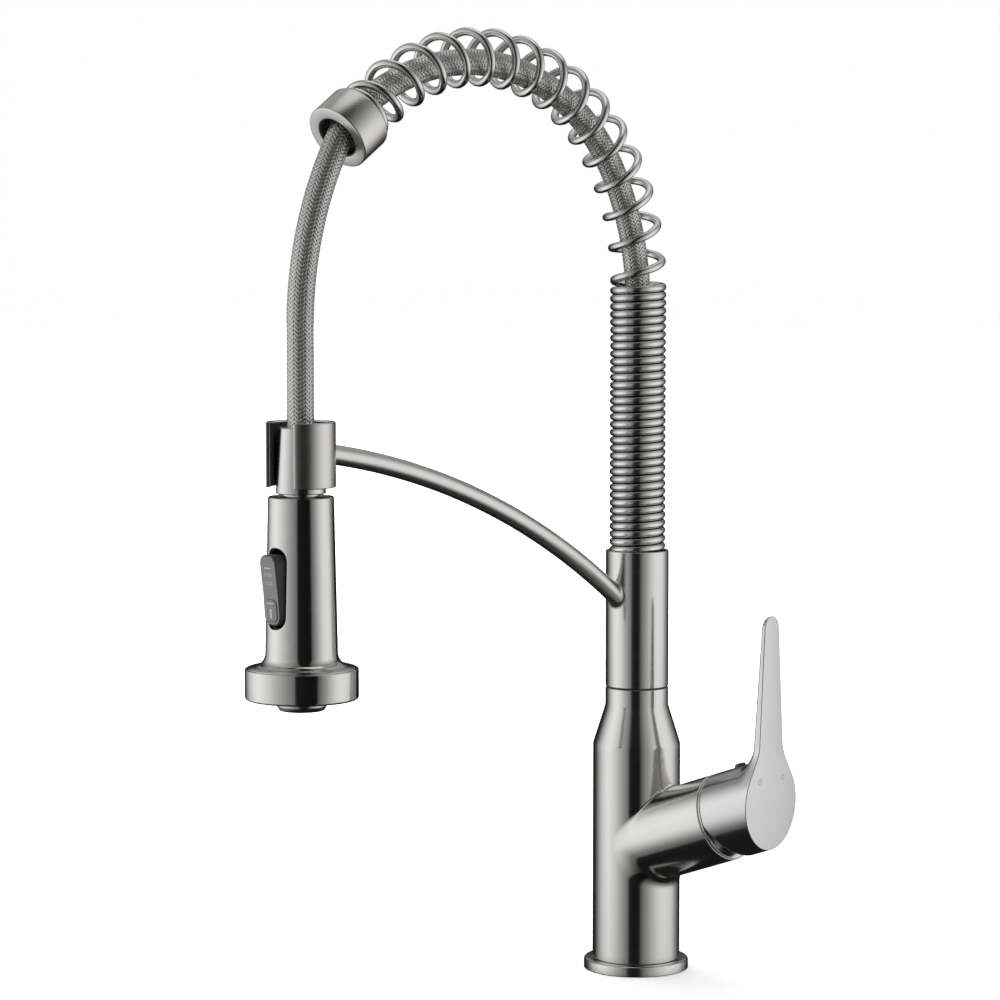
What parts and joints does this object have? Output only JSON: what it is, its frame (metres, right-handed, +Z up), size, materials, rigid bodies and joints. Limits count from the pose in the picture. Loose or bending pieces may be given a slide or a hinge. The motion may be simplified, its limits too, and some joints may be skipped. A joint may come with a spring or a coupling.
{
  "type": "pull down kitchen faucet",
  "caption": "Single lever kitchen faucet with a coil spring spout over a braided hose, a docking arm and a pull down spray head with a rocker button.",
  "frame": {"origin": "centre of the mounting socket on the column's axis, in the plane of the deck under the flange", "axes": "+Z up along the column; the spout and spray head reach out along -Y; the handle's boss points to +X, turned 7 degrees towards +Y"},
  "size_m": [0.1134, 0.2872, 0.4801],
  "materials": {
    "brushed_metal": "satin brushed",
    "lever_metal": "satin brushed, fine grain on the flat face",
    "spring_steel": "drawn wire, satin",
    "braid": "woven stainless braid",
    "dark_plastic": "matte",
    "button_plastic": "fine matte",
    "white_plastic": "matte",
    "rubber": "matte",
    "brass": "machined",
    "fastener_steel": "zinc plated"
  },
  "bodies": {
    "base": {"base_flange": "brushed_metal", "base_gasket": "rubber", "faucet_body": "brushed_metal", "boss_trim_ring": "brushed_metal", "cartridge_body": "white_plastic", "cartridge_seals": "rubber", "cartridge_nut": "brass", "swivel_spigot": "brass", "spigot_o_rings": "rubber", "swivel_glide_ring": "dark_plastic"},
    "carrier": {"cartridge_carrier": "white_plastic", "stem_pin": "fastener_steel"},
    "handle": {"cartridge_stem": "brass", "handle_lever": "lever_metal", "handle_set_screw": "fastener_steel", "handle_plug": "dark_plastic"},
    "riser": {"riser_tube": "brushed_metal", "riser_bush": "brass", "riser_lock_screw": "fastener_steel", "spring_seat": "dark_plastic", "spring_close": "spring_steel", "spring_open": "spring_steel", "spring_end_collar": "brushed_metal", "docking_arm": "brushed_metal", "docking_clip": "brushed_metal", "clip_liner": "rubber", "clip_screw": "fastener_steel", "hose_end_fitting": "brass", "hose_upper": "braid", "hose_lower": "braid"},
    "neck": {"spray_neck": "brushed_metal", "neck_o_ring": "rubber", "neck_snap_ring": "fastener_steel"},
    "spray_head": {"swivel_bush": "dark_plastic", "spray_shell": "brushed_metal", "spray_core": "dark_plastic", "button_frame": "dark_plastic", "button_pin": "fastener_steel", "spray_rim": "brushed_metal", "spray_face": "dark_plastic", "spray_nozzles": "rubber", "face_screws": "fastener_steel", "aerator_housing": "dark_plastic", "aerator_ring": "brushed_metal", "aerator_screen": "fastener_steel"},
    "button": {"button_rocker": "button_plastic", "button_pads": "rubber"},
    "diverter": {"diverter_spool": "white_plastic"}
  },
  "joints": [
    {"name": "spout_swivel", "type": "hinge", "parent": "base", "child": "riser", "pos_m": [0, 0, 0.1466], "axis": [0, 0, 1], "range_deg": [-180, 180]},
    {"name": "handle_temperature", "type": "hinge", "parent": "base", "child": "carrier", "pos_m": [0, 0, 0.0649], "axis": [0.935, 0.1148, 0.3355], "range_deg": [-45, 45]},
    {"name": "handle_flow", "type": "hinge", "parent": "carrier", "child": "handle", "pos_m": [0.04301, 0.00528, 0.08033], "axis": [-0.1219, 0.9925, 0], "range_deg": [0, 20]},
    {"name": "head_pull", "type": "slide", "parent": "riser", "child": "neck", "axis": [0, 0, -1], "range_m": [0, 0.06], "deforming": ["hose_lower"]},
    {"name": "head_spin", "type": "hinge", "parent": "neck", "child": "spray_head", "pos_m": [0, -0.228, 0.26], "axis": [0, 0, 1], "continuous": true},
    {"name": "mode_button", "type": "hinge", "parent": "spray_head", "child": "button", "pos_m": [0, -0.2375, 0.2165], "axis": [-1, 0, 0], "range_deg": [0, 10]},
    {"name": "diverter_slide", "type": "slide", "parent": "spray_head", "child": "diverter", "axis": [0, 1, 0], "range_m": [0, 0.0017]}
  ],
  "couplings": [
    {"joint": "diverter_slide", "follows": "mode_button", "m_per_rad": 0.00945}
  ]
}
